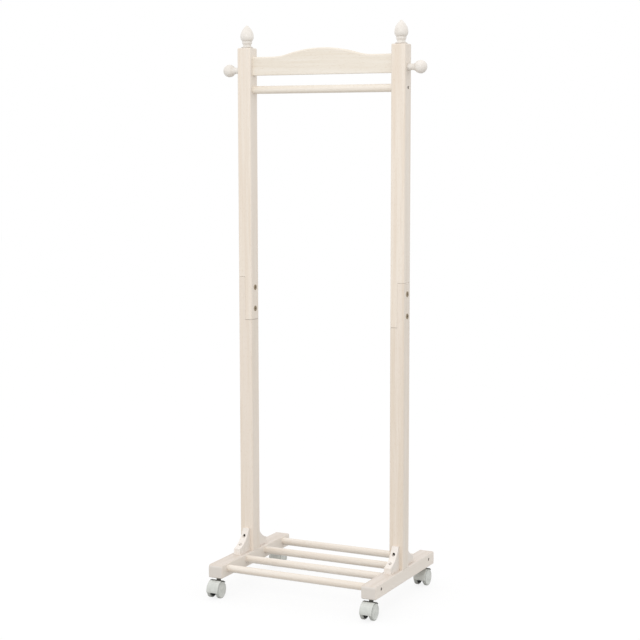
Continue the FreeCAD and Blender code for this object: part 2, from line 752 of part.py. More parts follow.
def make_lap_fasteners():
    """Bolts from the outer faces of the half-laps into sleeve nuts from the inner faces."""
    shank, sleeve = "lap_bolt_diameter / 2", "lap_sleeve_diameter / 2"
    bolt = low_head("lap_bolt", [(shank, "0"), (shank, "-lap_bolt_length"), ("0", "-lap_bolt_length")])
    floor = "-lap_sleeve_length + lap_sleeve_bore"
    nut = low_head("lap_sleeve_nut", [(sleeve, "0"), (sleeve, "-lap_sleeve_length"),
                                      (shank, "-lap_sleeve_length"), (shank, floor), ("0", floor)])
    bolts, nuts = [], []
    for _, sign, _ in SIDES:
        out, into = (HEAD_RIGHT, HEAD_LEFT) if sign > 0 else (HEAD_LEFT, HEAD_RIGHT)
        for step in (1, -1):
            height = f"runner_top + lap_middle + {step} * lap_bolt_pitch / 2"
            bolts.append((signed(sign, "post_x + post_half_width"), "0", height, out))
            nuts.append((signed(sign, "inner_half_span"), "0", height, into))
    group("lap_bolts", bolt, bolts)
    group("lap_sleeve_nuts", nut, nuts)


def make_screws():
    """Screws of the rods and the braces, in groups of like ones."""
    rod_seats, hanger_seats, post_seats, runner_seats = [], [], [], []
    for _, sign, _ in SIDES:
        out = HEAD_RIGHT if sign > 0 else HEAD_LEFT
        for number in SCREWED_RODS:
            rod_seats.append((signed(sign, "post_x + runner_half_width - rod_screw_recess"),
                              shelf_rod_y(number), "shelf_rod_level", out))
        hanger_seats.append((signed(sign, "post_x + post_half_width - rod_screw_recess"), "0",
                             "post_top - hanger_drop", out))
        for sign_y, facing in ((-1, HEAD_FRONT), (1, HEAD_BACK)):
            post_seats.append((signed(sign, "post_x"),
                               signed(sign_y, "post_half_depth + brace_post_seat + screw_head_height"),
                               "runner_top + brace_post_screw_rise", facing))
            runner_seats.append((signed(sign, "post_x"),
                                 signed(sign_y, "post_half_depth + brace_runner_screw_reach"),
                                 "runner_top + brace_runner_seat + screw_head_height", HEAD_UP))
    group("shelf_rod_screws", wood_screw("shelf_rod_screw", "shelf_screw_length"), rod_seats)
    group("hanger_rod_screws", wood_screw("hanger_rod_screw", "hanger_screw_length"), hanger_seats)
    group("brace_post_screws", wood_screw("brace_post_screw", "brace_post_screw_length"), post_seats)
    group("brace_runner_screws", wood_screw("brace_runner_screw", "brace_runner_screw_length"), runner_seats)


def make_dowels():
    """Hidden dowels and the hanger bolts of the pegs, each a plain round bar."""
    foot = rod("foot_dowel", "foot_dowel_diameter", "2 * foot_dowel_bite")
    crest = rod("crest_dowel", "crest_dowel_diameter", "2 * crest_dowel_bite")
    bolt = rod("peg_bolt", "peg_bolt_diameter", "peg_bolt_length")
    foot_seats, crest_seats, bolt_seats = [], [], []
    for _, sign, _ in SIDES:
        for sign_y in (1, -1):
            foot_seats.append((signed(sign, "post_x"), f"{sign_y} * foot_dowel_pitch / 2",
                               "runner_top - foot_dowel_bite", HEAD_UP))
        out = HEAD_RIGHT if sign > 0 else HEAD_LEFT
        crest_seats.append((signed(sign, "inner_half_span - crest_dowel_bite"), "0",
                            "crest_foot + crest_dowel_rise", out))
        bolt_seats.append((signed(sign, "inner_half_span - peg_bolt_crest_bite"), "0",
                           "crest_foot + peg_rise", out))
    group("post_foot_dowels", foot, foot_seats)
    group("crest_dowels", crest, crest_seats)
    group("peg_bolts", bolt, bolt_seats)


def caster_seats():
    """Name and stem axis of each caster."""
    for side, sign, _ in SIDES:
        for end, sign_y in (("front", -1), ("back", 1)):
            yield f"{end}_{side}", signed(sign, "post_x"), signed(sign_y, "caster_y")


def make_sockets():
    """Flanged sockets pressed into the runners, in which the caster stems turn."""
    bore, barrel = "stem_diameter / 2 + stem_play", "socket_diameter / 2"
    flange = "socket_flange_diameter / 2"
    points = [
        (bore, "-socket_flange_height"), (flange, "-socket_flange_height"), (flange, "0"), (barrel, "0"),
        (barrel, "socket_length"), (bore, "socket_length"),
    ]
    socket = turned("caster_socket", "XZ_Plane", "V_Axis", points)
    group("caster_sockets", socket, [(x, y, "caster_height", HEAD_UP) for _, x, y in caster_seats()])


def make_stem(name, x, y):
    """Caster stem: lower end in the core, collar on the core's boss, upper end in the socket."""
    shank, collar = "stem_diameter / 2", "stem_collar_diameter / 2"
    points = [
        ("0", "-stem_seat"), (shank, "-stem_seat"), (shank, "0"), (collar, "0"),
        (collar, "stem_collar_height"), (shank, "stem_collar_height"),
        (shank, "core_boss_drop + stem_bite"), ("0", "core_boss_drop + stem_bite"),
    ]
    body = turned(f"caster_stem_{name}", "XZ_Plane", "V_Axis", points)
    place(body, x, y, "core_top")
    keep(body)


def wheel_arch(body, label, back_angle, front_angle):
    """Curved wall over both wheels, between angles that count from the back over the top to the front."""
    points = [(f"{radius} * cos({angle})", f"{radius} * sin({angle})") for radius, angle in (
        ("hood_radius", back_angle), ("hood_radius", front_angle),
        ("core_radius", front_angle), ("core_radius", back_angle))]
    arcs = {0: ("hood_radius", 1), 2: ("core_radius", -1)}
    pad(body, outline(body, label, "YZ_Plane", points, arcs), "hood_width", both_ways=True)


def make_core(name, x, y):
    """Dark core between the wheels: a fork of two cheeks, a fender behind the hood and the boss for the stem.

    Its origin is at the axle.
    """
    body = new_body(f"caster_core_{name}")
    front, back = (tuple((f"{radius} * cos({angle})", f"{radius} * sin({angle})")
                         for radius in ("core_radius", "core_cheek_radius"))
                   for angle in ("hood_front_angle", "fender_back_angle"))
    points = [front[0], front[1], ("0", "-core_cheek_radius"), back[1], back[0]]
    arcs = {1: ("core_cheek_radius", 1), 2: ("core_cheek_radius", 1), 4: ("core_radius", 1)}
    pad(body, outline(body, f"core_outline_{name}", "YZ_Plane", points, arcs), "core_width", both_ways=True)
    corners = [(f"{across}core_slot_half", f"{along}core_radius")
               for across, along in (("-", "-"), ("", "-"), ("", ""), ("-", ""))]
    slot = outline(body, f"core_slot_{name}", "XY_Plane", corners, level="-core_slot_drop")
    pocket(body, slot, "core_radius")
    wheel_arch(body, f"core_fender_{name}", "fender_back_angle", "hood_back_angle - hood_seam_angle")
    boss = new_sketch(body, f"core_boss_{name}", "XY_Plane", "core_top - wheel_radius - core_boss_length")
    boss.addGeometry(Part.Circle(Vector(0, value("caster_trail"), 0), Vector(0, 0, 1),
                                 value("core_boss_diameter") / 2), False)
    measure(boss, "DistanceX", 0, "0", 3)
    measure(boss, "DistanceY", 0, "caster_trail", 3)
    measure(boss, "Diameter", 0, "core_boss_diameter")
    pad(body, boss, "core_boss_length")
    bores(body, f"core_stem_seat_{name}", "XY_Plane", "core_top - wheel_radius", [("0", "caster_trail")],
          "stem_diameter", "stem_seat")
    bores(body, f"core_axle_bore_{name}", "YZ_Plane", "core_width / 2", [("0", "0")], "axle_diameter",
          "core_width")
    place(body, x, f"{y} - caster_trail", "wheel_radius")
    keep(body)


def make_hood(name, x, y):
    """Curved hood clipped on the core, over the front and top of both wheels; origin at the axle."""
    body = new_body(f"caster_hood_{name}")
    wheel_arch(body, f"hood_outline_{name}", "hood_back_angle", "hood_front_angle")
    outer = value("hood_radius")
    round_edges(body, f"hood_edges_{name}", "hood_edge_round",
                lambda edge: all(abs(math.hypot(end.Y, end.Z) - outer) < NEAR for end in edge.Vertexes))
    place(body, x, f"{y} - caster_trail", "wheel_radius")
    keep(body)


def make_wheel(name, side, turn, x, y):
    """Wheel turned about the axle: rounded tread, dished outer face with a hub, blind bore from inside."""
    points = [
        ("wheel_inner_x", "wheel_bore_radius"),
        ("wheel_inner_x", "wheel_rim_radius"),
        ("wheel_inner_x + wheel_edge_round", "wheel_radius"),
        ("wheel_outer_x - wheel_edge_round", "wheel_radius"),
        ("wheel_outer_x", "wheel_rim_radius"),
        ("wheel_outer_x", "wheel_dish_radius"),
        ("wheel_outer_x - wheel_face_recess", "wheel_dish_radius - wheel_face_recess"),
        ("wheel_outer_x - wheel_face_recess", "wheel_hub_radius + wheel_face_recess"),
        ("wheel_outer_x", "wheel_hub_radius"),
        ("wheel_outer_x", "0"),
        ("wheel_outer_x - wheel_skin", "0"),
        ("wheel_outer_x - wheel_skin", "wheel_bore_radius"),
    ]
    arcs = {1: ("wheel_edge_round", -1), 3: ("wheel_edge_round", -1)}
    body = turned(f"caster_wheel_{name}_{side}", "XZ_Plane", "H_Axis", points, arcs)
    place(body, x, f"{y} - caster_trail", "wheel_radius", about_z(turn))
    keep(body)


def make_axle(name, x, y):
    """Axle pin along X through the core, with both wheels on its ends."""
    pin = rod(f"caster_axle_{name}", "axle_diameter", "axle_length")
    place(pin, f"{x} - axle_length / 2", f"{y} - caster_trail", "wheel_radius", HEAD_RIGHT)
    keep(pin)


def make_casters():
    for name, x, y in caster_seats():
        make_stem(name, x, y)
        make_core(name, x, y)
        make_hood(name, x, y)
        make_axle(name, x, y)
        make_wheel(name, "outer" if name.endswith("right") else "inner", 0.0, x, y)
        make_wheel(name, "inner" if name.endswith("right") else "outer", 180.0, x, y)


def make_rack():
    for side, sign, turn in SIDES:
        make_upper_post(side, sign, turn)
        make_lower_post(side, sign, turn)
        make_finial(side, sign)
        make_peg(side, sign, turn)
        make_runner(side, sign, turn)
    make_crest_rail()
    make_rods()
    make_braces()
    make_lap_fasteners()
    make_screws()
    make_dowels()
    make_sockets()
    make_casters()
    doc.recompute()


def check_and_write():
    """Refuse any failed object or bad shape, then write each sub-part to its own file."""
    for thing in doc.Objects:
        if "Invalid" in thing.State or "Error" in thing.State:
            raise RuntimeError(f"{thing.Label} failed: {thing.State}")
    for piece in pieces:
        if piece.Shape.isNull() or not piece.Shape.isValid() or not piece.Shape.Solids:
            raise RuntimeError(f"{piece.Label} has a bad shape")
    os.makedirs("parts", exist_ok=True)
    for piece in pieces:
        piece.Shape.exportStep(f"parts/{piece.Label}.step")
        print(f"{piece.Label}: {len(piece.Shape.Solids)} solids, {piece.Shape.Volume:.0f} mm3")


make_rack()
check_and_write()
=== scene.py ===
"""Looks of a white-washed wooden clothes rack on four twin-wheel casters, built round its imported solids."""

from __future__ import annotations

import itertools
import logging
import math
from collections.abc import Iterable, Sequence
from dataclasses import dataclass, replace
from enum import Enum

import bmesh
import bpy
from mathutils import Matrix, Vector

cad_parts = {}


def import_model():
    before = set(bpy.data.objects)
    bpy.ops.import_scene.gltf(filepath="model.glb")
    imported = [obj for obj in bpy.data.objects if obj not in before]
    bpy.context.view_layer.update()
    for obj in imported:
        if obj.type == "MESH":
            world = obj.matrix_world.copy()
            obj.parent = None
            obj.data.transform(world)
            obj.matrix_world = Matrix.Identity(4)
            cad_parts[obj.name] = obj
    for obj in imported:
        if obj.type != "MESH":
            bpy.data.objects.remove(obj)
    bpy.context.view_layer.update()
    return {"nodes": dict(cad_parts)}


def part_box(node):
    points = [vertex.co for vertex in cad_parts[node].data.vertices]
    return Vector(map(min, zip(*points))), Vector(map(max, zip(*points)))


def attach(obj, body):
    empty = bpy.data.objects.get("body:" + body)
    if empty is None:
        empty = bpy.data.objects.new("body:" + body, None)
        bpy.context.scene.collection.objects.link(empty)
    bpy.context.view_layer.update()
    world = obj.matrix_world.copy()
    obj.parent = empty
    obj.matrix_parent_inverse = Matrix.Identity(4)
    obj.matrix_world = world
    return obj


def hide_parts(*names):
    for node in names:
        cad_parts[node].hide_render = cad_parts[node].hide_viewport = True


LOG = logging.getLogger("clothes_rack")

MM = 0.001
# Corners of a mesh that lie nearer than this become one, in metres.
WELD = 1e-6
# Faces that meet at more than this make a sharp edge.
CREASE_DEG = 32.0
ROUND_SEGMENTS = 4
# Seats of fasteners are read to a tenth of a millimetre.
SEAT_DIGITS = 4
UP = Vector((0.0, 0.0, 1.0))
FRAME_BODY = "frame"


class Grain(Enum):
    """Axis of the rack that the fibres of a wooden piece run along."""

    SIDEWAYS = 0
    FRONT_TO_BACK = 1
    UPRIGHT = 2


class Side(Enum):
    """Side of the rack, as in the names of its nodes."""

    LEFT = "left"
    RIGHT = "right"


class End(Enum):
    """Front or back of the rack, as in the names of its nodes."""

    FRONT = "front"
    BACK = "back"


class RodPlace(Enum):
    """Place of a shelf rod, as in the name of its node."""

    FRONT = "front"
    MID_FRONT = "mid_front"
    MID_BACK = "mid_back"
    BACK = "back"


class Hand(Enum):
    """Wheel of a caster, as in the names of its node and body."""

    INNER = "inner"
    OUTER = "outer"


class Facing(Enum):
    """Way that a fastener's head faces: its axis, and the sign along it on the axis's positive side."""

    OUTWARD = (0, 1)
    INWARD = (0, -1)
    ENDWARD = (1, 1)
    UPWARD = (2, 1)


def linear(colour: str) -> tuple[float, float, float, float]:
    """Linear colour of an sRGB hex value.

    Args:
        colour: Six hex digits after a hash sign.

    Returns:
        Red, green, blue and alpha in linear light.
    """
    channels = [int(colour[start:start + 2], 16) / 255 for start in (1, 3, 5)]
    light = [c / 12.92 if c <= 0.04045 else ((c + 0.055) / 1.055) ** 2.4 for c in channels]
    return (*light, 1.0)


def add_node(tree: bpy.types.NodeTree, kind: str, settings: dict[str, object] | None = None,
             inputs: dict[str | int, object] | None = None) -> bpy.types.Node:
    """Add a node with its settings, socket values and links.

    Args:
        tree: Node tree that gets the node.
        kind: Blender's name of the node's type.
        settings: Properties of the node by name.
        inputs: A value or an output socket for each input, by its name or number.

    Returns:
        The new node.
    """
    node = tree.nodes.new(kind)
    for name, setting in (settings or {}).items():
        setattr(node, name, setting)
    for socket, source in (inputs or {}).items():
        if isinstance(source, bpy.types.NodeSocket):
            tree.links.new(source, node.inputs[socket])
        else:
            node.inputs[socket].default_value = source
    return node


def lathe(points: Sequence[tuple[float, float]], rounds: dict[int, float], steps: int) -> bmesh.types.BMesh:
    """Turn a profile about the Z axis.

    Args:
        points: Radius and height of each corner of the profile, in metres.
        rounds: Radius of the rounding at a corner, by the corner's number.
        steps: Facets of the full turn.

    Returns:
        The turned skin, with its seam merged.
    """
    shape = bmesh.new()
    corners = [shape.verts.new((radius, 0.0, height)) for radius, height in points]
    for start, end in itertools.pairwise(corners):
        shape.edges.new((start, end))
    for number, radius in rounds.items():
        bmesh.ops.bevel(shape, geom=[corners[number]], offset=radius, offset_type="OFFSET",
                        segments=ROUND_SEGMENTS, profile=0.5, affect="VERTICES", material=-1)
    bmesh.ops.spin(shape, geom=shape.verts[:] + shape.edges[:], cent=(0.0, 0.0, 0.0), axis=UP,
                   angle=math.tau, steps=steps, use_merge=True)
    bmesh.ops.remove_doubles(shape, verts=shape.verts, dist=WELD)
    return shape


def copies(shape: bmesh.types.BMesh, seats: Iterable[Matrix]) -> bmesh.types.BMesh:
    """Copies of a shape at several seats.

    Args:
        shape: Shape at the origin, used up by this call.
        seats: Place and turn of each copy.

    Returns:
        One bmesh that holds all the copies.
    """
    pattern = bpy.data.meshes.new("pattern")
    shape.to_mesh(pattern)
    shape.free()
    joined = bmesh.new()
    for seat in seats:
        known = len(joined.verts)
        joined.from_mesh(pattern)
        joined.verts.ensure_lookup_table()
        bmesh.ops.transform(joined, matrix=seat, verts=joined.verts[known:])
    bpy.data.meshes.remove(pattern)
    return joined


def pointed(place: Vector, direction: Vector) -> Matrix:
    """Matrix that moves the origin to a place and turns +Z to a direction.

    Args:
        place: New place of the origin.
        direction: New direction of +Z.

    Returns:
        The combined matrix.
    """
    return Matrix.Translation(place) @ UP.rotation_difference(direction).to_matrix().to_4x4()


@dataclass(frozen=True)
class Noise:
    """Noise of a pattern, which is absent below the low limit and full above the high one."""

    layers: float
    low: float
    high: float
    layer_share: float = 0.55


@dataclass(frozen=True)
class Finish:
    """A real finish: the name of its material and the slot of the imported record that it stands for."""

    name: str
    slot: str

    def material(self) -> bpy.types.Material:
        """Material of this finish, made once and then shared.

        Returns:
            The node material.
        """
        if self.name in bpy.data.materials:
            return bpy.data.materials[self.name]
        made = bpy.data.materials.new(self.name)
        made.use_nodes = True
        tree = made.node_tree
        tree.nodes.clear()
        shader = add_node(tree, "ShaderNodeBsdfPrincipled")
        add_node(tree, "ShaderNodeOutputMaterial", inputs={"Surface": shader.outputs["BSDF"]})
        self.coat(tree, shader)
        return made

    def coat(self, tree: bpy.types.NodeTree, shader: bpy.types.Node) -> None:
        """Lay the finish's own nodes; each kind of finish has its own.

        Args:
            tree: Node tree of the material.
            shader: Its Principled shader.
        """
        raise NotImplementedError

    def speckle(self, tree: bpy.types.NodeTree, size_mm: Sequence[float], noise: Noise,
                offset: float = 0.0) -> bpy.types.NodeSocket:
        """Noise of a real size in the rack's own space, from 0 to 1.

        Args:
            tree: Node tree of the material.
            size_mm: Size of a grain of the noise along X, Y and Z, in millimetres.
            noise: Finer layers and limits of the noise.
            offset: Where in the noise this piece was cut, in grains.

        Returns:
            Socket of the pattern.
        """
        space = add_node(tree, "ShaderNodeTexCoord")
        scaled = add_node(tree, "ShaderNodeMapping", inputs={
            "Vector": space.outputs["Object"], "Location": (offset, offset, offset),
            "Scale": tuple(1 / (size * MM) for size in size_mm)})
        grains = add_node(tree, "ShaderNodeTexNoise", inputs={
            "Vector": scaled.outputs["Vector"], "Scale": 1.0, "Detail": noise.layers,
            "Roughness": noise.layer_share})
        spread = add_node(tree, "ShaderNodeMapRange", {"interpolation_type": "SMOOTHSTEP"}, {
            "Value": grains.outputs[0], "From Min": noise.low, "From Max": noise.high})
        return spread.outputs["Result"]


@dataclass(frozen=True)
class WashedWood(Finish):
    """Rubberwood under a white wash and satin lacquer.

    The eye gets a pale cream with faint straight bands, fine fibres, short darker vessel lines and a soft
    sheen that is a little broken along the grain.
    """

    slot: str = "whitewashed_wood"
    grain: Grain = Grain.UPRIGHT
    ground: str = "#EDE3D7"
    band: str = "#E4D6C6"
    vessel: str = "#C8B095"
    # Cut ends drink the wash and stay greyer. Faces that look sideways get their own tone: partly the greyer
    # figure of faces sawn across the rings, partly painted light and shade that sets how bright the sides
    # look.
    cut_end: str = "#D3CAC1"
    ring_face_and_side_light: str = "#DDD6CD"
    # Painted shade: grooves and inner corners darken by how closed in an ambient-occlusion probe finds them.
    crevice_shade: str = "#9A8E82"
    board: float = 0.0
    band_mm: float = 13.0
    band_length_mm: float = 420.0
    fibre_mm: float = 2.2
    fibre_length_mm: float = 90.0
    # Real vessel lines are a third of this wide, too fine to show.
    vessel_mm: float = 1.1
    vessel_length_mm: float = 11.0
    band_noise: Noise = Noise(2.0, 0.36, 0.66)
    fibre_noise: Noise = Noise(3.0, 0.3, 0.7)
    vessel_noise: Noise = Noise(1.0, 0.6, 0.72)
    band_share: float = 0.6
    fibre_share: float = 0.35
    vessel_share: float = 0.3
    cut_end_share: float = 0.0
    ring_face_and_side_light_share: float = 0.0
    crevice_shade_share: float = 0.0
    crevice_shade_mm: float = 9.0
    # Cosines from which a face counts as square to an axis, and open shares from which a spot gets painted
    # crevice shade.
    square_limits: tuple[float, float] = (0.55, 0.9)
    crevice_shade_limits: tuple[float, float] = (0.95, 0.45)
    relief_mm: float = 0.05
    relief_strength: float = 0.35
    roughness: float = 0.42
    sheen_break: float = 0.1
    ior: float = 1.5
    lacquer: float = 0.12
    lacquer_roughness: float = 0.25

    def along(self, across_mm: float, length_mm: float) -> list[float]:
        """Size of a streak along X, Y and Z."""
        return [length_mm if axis == self.grain.value else across_mm for axis in range(3)]

    def squarely(self, tree: bpy.types.NodeTree, axis: Grain, share: float) -> bpy.types.NodeSocket:
        """Weight of the faces that look along an axis of the rack.

        Args:
            tree: Node tree of the material.
            axis: Axis that the faces look along.
            share: Weight of a face that is square to it.

        Returns:
            Socket of the weight, from 0 to share.
        """
        start, full = self.square_limits
        space = add_node(tree, "ShaderNodeTexCoord")
        toward = [float(number == axis.value) for number in range(3)]
        cosine = add_node(tree, "ShaderNodeVectorMath", {"operation": "DOT_PRODUCT"}, {
            0: space.outputs["Normal"], 1: toward})
        plain = add_node(tree, "ShaderNodeMath", {"operation": "ABSOLUTE"}, {0: cosine.outputs["Value"]})
        weight = add_node(tree, "ShaderNodeMapRange", {"interpolation_type": "SMOOTHSTEP"}, {
            "Value": plain.outputs[0], "From Min": start, "From Max": full, "To Max": share})
        return weight.outputs["Result"]

    def crevice_shade_weight(self, tree: bpy.types.NodeTree) -> bpy.types.NodeSocket:
        """Weight of the painted shade in grooves and inner corners, read from ambient occlusion.

        Args:
            tree: Node tree of the material.

        Returns:
            Socket of the weight, from 0 to the share of the painted shade.
        """
        start, full = self.crevice_shade_limits
        shelter = add_node(tree, "ShaderNodeAmbientOcclusion", inputs={"Distance": self.crevice_shade_mm * MM})
        weight = add_node(tree, "ShaderNodeMapRange", {"interpolation_type": "SMOOTHSTEP"}, {
            "Value": shelter.outputs["AO"], "From Min": start, "From Max": full,
            "To Max": self.crevice_shade_share})
        return weight.outputs["Result"]

    def coat(self, tree: bpy.types.NodeTree, shader: bpy.types.Node) -> None:
        """Mix bands, fibres and vessel lines into colour, sheen and relief.

        Args:
            tree: Node tree of the material.
            shader: Its Principled shader.
        """
        bands = self.speckle(tree, self.along(self.band_mm, self.band_length_mm), self.band_noise,
                             self.board)
        fibres = self.speckle(tree, self.along(self.fibre_mm, self.fibre_length_mm), self.fibre_noise,
                              self.board)
        vessels = self.speckle(tree, self.along(self.vessel_mm, self.vessel_length_mm), self.vessel_noise,
                               self.board)
        fine = add_node(tree, "ShaderNodeMath", {"operation": "MULTIPLY"}, {0: fibres, 1: self.fibre_share})
        streaks = add_node(tree, "ShaderNodeMath", {"operation": "MULTIPLY_ADD"}, {
            0: bands, 1: self.band_share, 2: fine.outputs[0]})
        colour = add_node(tree, "ShaderNodeMix", {"data_type": "RGBA"}, {
            0: streaks.outputs[0], 6: linear(self.ground), 7: linear(self.band)})
        lines = add_node(tree, "ShaderNodeMath", {"operation": "MULTIPLY"}, {
            0: vessels, 1: self.vessel_share})
        layers = [(lines.outputs[0], self.vessel)]
        # Sideways faces: ring-cut figure mixed with painted light and shade of the sides.
        if self.ring_face_and_side_light_share:
            layers.append((self.squarely(tree, Grain.SIDEWAYS, self.ring_face_and_side_light_share), self.ring_face_and_side_light))
        if self.cut_end_share:
            layers.append((self.squarely(tree, self.grain, self.cut_end_share), self.cut_end))
        # Painted shade in grooves and inner corners, from ambient occlusion.
        if self.crevice_shade_share:
            layers.append((self.crevice_shade_weight(tree), self.crevice_shade))
        for weight, tone in layers:
            colour = add_node(tree, "ShaderNodeMix", {"data_type": "RGBA"}, {
                0: weight, 6: colour.outputs[2], 7: linear(tone)})
        dullness = add_node(tree, "ShaderNodeMapRange", inputs={
            "Value": streaks.outputs[0], "To Min": self.roughness,
            "To Max": self.roughness + self.sheen_break})
        height = add_node(tree, "ShaderNodeMath", {"operation": "SUBTRACT"}, {
            0: fine.outputs[0], 1: vessels})
        relief = add_node(tree, "ShaderNodeBump", inputs={
            "Strength": self.relief_strength, "Distance": self.relief_mm * MM, "Height": height.outputs[0]})
        tree.links.new(colour.outputs[2], shader.inputs["Base Color"])
        tree.links.new(dullness.outputs["Result"], shader.inputs["Roughness"])
        tree.links.new(relief.outputs["Normal"], shader.inputs["Normal"])
        shader.inputs["IOR"].default_value = self.ior
        shader.inputs["Coat Weight"].default_value = self.lacquer
        shader.inputs["Coat Roughness"].default_value = self.lacquer_roughness


@dataclass(frozen=True)
class MouldedPlastic(Finish):
    """Injection-moulded plastic with a fine spark-eroded skin.

    The eye gets one even colour that clouds very slightly, and a broad soft highlight with a fine tooth;
    dust greys what lies high enough to keep it.
    """

    colour: str
    cloud: str
    cloud_mm: float = 9.0
    tooth_mm: float = 0.8
    tooth_depth_mm: float = 0.02
    tooth_strength: float = 0.3
    cloud_noise: Noise = Noise(2.0, 0.35, 0.7)
    tooth_noise: Noise = Noise(1.0, 0.2, 0.8)
    roughness: float = 0.38
    sheen_break: float = 0.06
    ior: float = 1.5
    dust: str = "#74746F"
    dust_share: float = 0.0
    # Heights above the floor between which the dust begins to lie.
    dust_from_mm: float = 36.0
    dust_to_mm: float = 42.0

    def coat(self, tree: bpy.types.NodeTree, shader: bpy.types.Node) -> None:
        """Cloud the colour, lay the dust and give the skin its tooth.

        Args:
            tree: Node tree of the material.
            shader: Its Principled shader.
        """
        clouds = self.speckle(tree, [self.cloud_mm] * 3, self.cloud_noise)
        tooth = self.speckle(tree, [self.tooth_mm] * 3, self.tooth_noise)
        colour = add_node(tree, "ShaderNodeMix", {"data_type": "RGBA"}, {
            0: clouds, 6: linear(self.colour), 7: linear(self.cloud)})
        if self.dust_share:
            space = add_node(tree, "ShaderNodeTexCoord")
            place = add_node(tree, "ShaderNodeSeparateXYZ", inputs={0: space.outputs["Object"]})
            dusty = add_node(tree, "ShaderNodeMapRange", {"interpolation_type": "SMOOTHSTEP"}, {
                "Value": place.outputs["Z"], "From Min": self.dust_from_mm * MM,
                "From Max": self.dust_to_mm * MM, "To Max": self.dust_share})
            colour = add_node(tree, "ShaderNodeMix", {"data_type": "RGBA"}, {
                0: dusty.outputs["Result"], 6: colour.outputs[2], 7: linear(self.dust)})
        dullness = add_node(tree, "ShaderNodeMapRange", inputs={
            "Value": clouds, "To Min": self.roughness, "To Max": self.roughness + self.sheen_break})
        relief = add_node(tree, "ShaderNodeBump", inputs={
            "Strength": self.tooth_strength, "Distance": self.tooth_depth_mm * MM, "Height": tooth})
        tree.links.new(colour.outputs[2], shader.inputs["Base Color"])
        tree.links.new(dullness.outputs["Result"], shader.inputs["Roughness"])
        tree.links.new(relief.outputs["Normal"], shader.inputs["Normal"])
        shader.inputs["IOR"].default_value = self.ior


@dataclass(frozen=True)
class PlatedSteel(Finish):
    """Steel fastener with a thin plated or oxidised coat.

    The eye gets a dark metal whose gloss is clouded by handling, paler where the coat is thin.
    """

    colour: str
    worn: str
    cloud_mm: float = 2.5
    cloud_noise: Noise = Noise(3.0, 0.4, 0.75)
    roughness: float = 0.36
    sheen_break: float = 0.15
    metallic: float = 1.0

    def coat(self, tree: bpy.types.NodeTree, shader: bpy.types.Node) -> None:
        """Cloud the coat's colour and gloss.

        Args:
            tree: Node tree of the material.
            shader: Its Principled shader.
        """
        clouds = self.speckle(tree, [self.cloud_mm] * 3, self.cloud_noise)
        colour = add_node(tree, "ShaderNodeMix", {"data_type": "RGBA"}, {
            0: clouds, 6: linear(self.colour), 7: linear(self.worn)})
        dullness = add_node(tree, "ShaderNodeMapRange", inputs={
            "Value": clouds, "To Min": self.roughness, "To Max": self.roughness + self.sheen_break})
        tree.links.new(colour.outputs[2], shader.inputs["Base Color"])
        tree.links.new(dullness.outputs["Result"], shader.inputs["Roughness"])
        shader.inputs["Metallic"].default_value = self.metallic


# White-washed rubberwood: one tone for each kind of board, as the boards of the rack differ a little. The
# lower posts are a darker copy of the upper ones: painted shade, darker towards the floor.
# Its sideways faces are greyer: painted shade of the sides mixed with ring-cut figure.
UPPER_POST = WashedWood("rubberwood_whitewash_upper_post", ring_face_and_side_light_share=0.45, cut_end_share=0.5)
LOWER_POST_SHADED = replace(UPPER_POST, name="rubberwood_whitewash_lower_post_shaded", ground="#E9DED2", band="#DFD1C0")
CREST_BOARD = WashedWood("rubberwood_whitewash_crest", grain=Grain.SIDEWAYS, ground="#EDE6DB",
                         band="#E5DBCC")
# The runners' sideways faces take a paler tone: painted light that brightens their sides.
RUNNER_BOARD = replace(UPPER_POST, name="rubberwood_whitewash_runner", grain=Grain.FRONT_TO_BACK,
                       ground="#D9CFC6", band="#CFC3B7", cut_end="#D9D3CC", ring_face_and_side_light="#ECE4DA",
                       ring_face_and_side_light_share=0.7, cut_end_share=0.85)
BRACE_BLOCK = replace(UPPER_POST, name="rubberwood_whitewash_brace", ground="#ECE6E0", band="#E6DED6",
                      cut_end_share=0.0)
# Turned pieces get painted shade in their grooves and where they meet the posts.
TURNED_UPRIGHT = WashedWood("rubberwood_whitewash_finial", ground="#EBE6E0", band="#E2DCD4", lacquer=0.35,
                            crevice_shade_share=0.7)
TURNED_SIDEWAYS = replace(TURNED_UPRIGHT, name="rubberwood_whitewash_peg", grain=Grain.SIDEWAYS)
# Rods of the same wood show more of it: the wash lies thinner on the round, so they are warmer.
SHELF_ROD = WashedWood("rubberwood_whitewash_shelf_rod", slot="rod_wood", grain=Grain.SIDEWAYS,
                       ground="#E9E1D7", band="#E0D4C6", band_mm=9.0, lacquer=0.5)
HANGER_ROD = replace(SHELF_ROD, name="rubberwood_whitewash_hanger_rod", ground="#EEE6DB", band="#E5DACB")
# Planed beech without a coat: pinkish tan with fine dark flecks.
BARE_BEECH = WashedWood("beech_planed", slot="dowel_beech", grain=Grain.SIDEWAYS, ground="#D3AE85",
                        band="#C39A6E", vessel="#8F6844", roughness=0.6, lacquer=0.0)
# Steel browned in hot oil: dark brown with a dull gloss, paler on rubbed edges.
BRONZED_STEEL = PlatedSteel("steel_bronzed", "bronzed_steel", "#3A3028", "#54463A", roughness=0.5)
# The same steel on the broad heads at the half-laps, rubbed to a paler olive brown.
RUBBED_STEEL = replace(BRONZED_STEEL, name="steel_bronzed_rubbed", colour="#968771", worn="#A7977F")
# Zinc-plated steel with a black chromate dip: near black with a grey bloom.
BLACK_ZINC = PlatedSteel("steel_black_zinc", "black_zinc_steel", "#3A3A3A", "#5A5A58")
# The same dip on the caster stems and sockets, turned to a dull lead-grey crust.
WORN_ZINC = replace(BLACK_ZINC, name="steel_black_zinc_worn", colour="#7A7A75", worn="#8C8C87",
                    roughness=0.6, metallic=0.2)
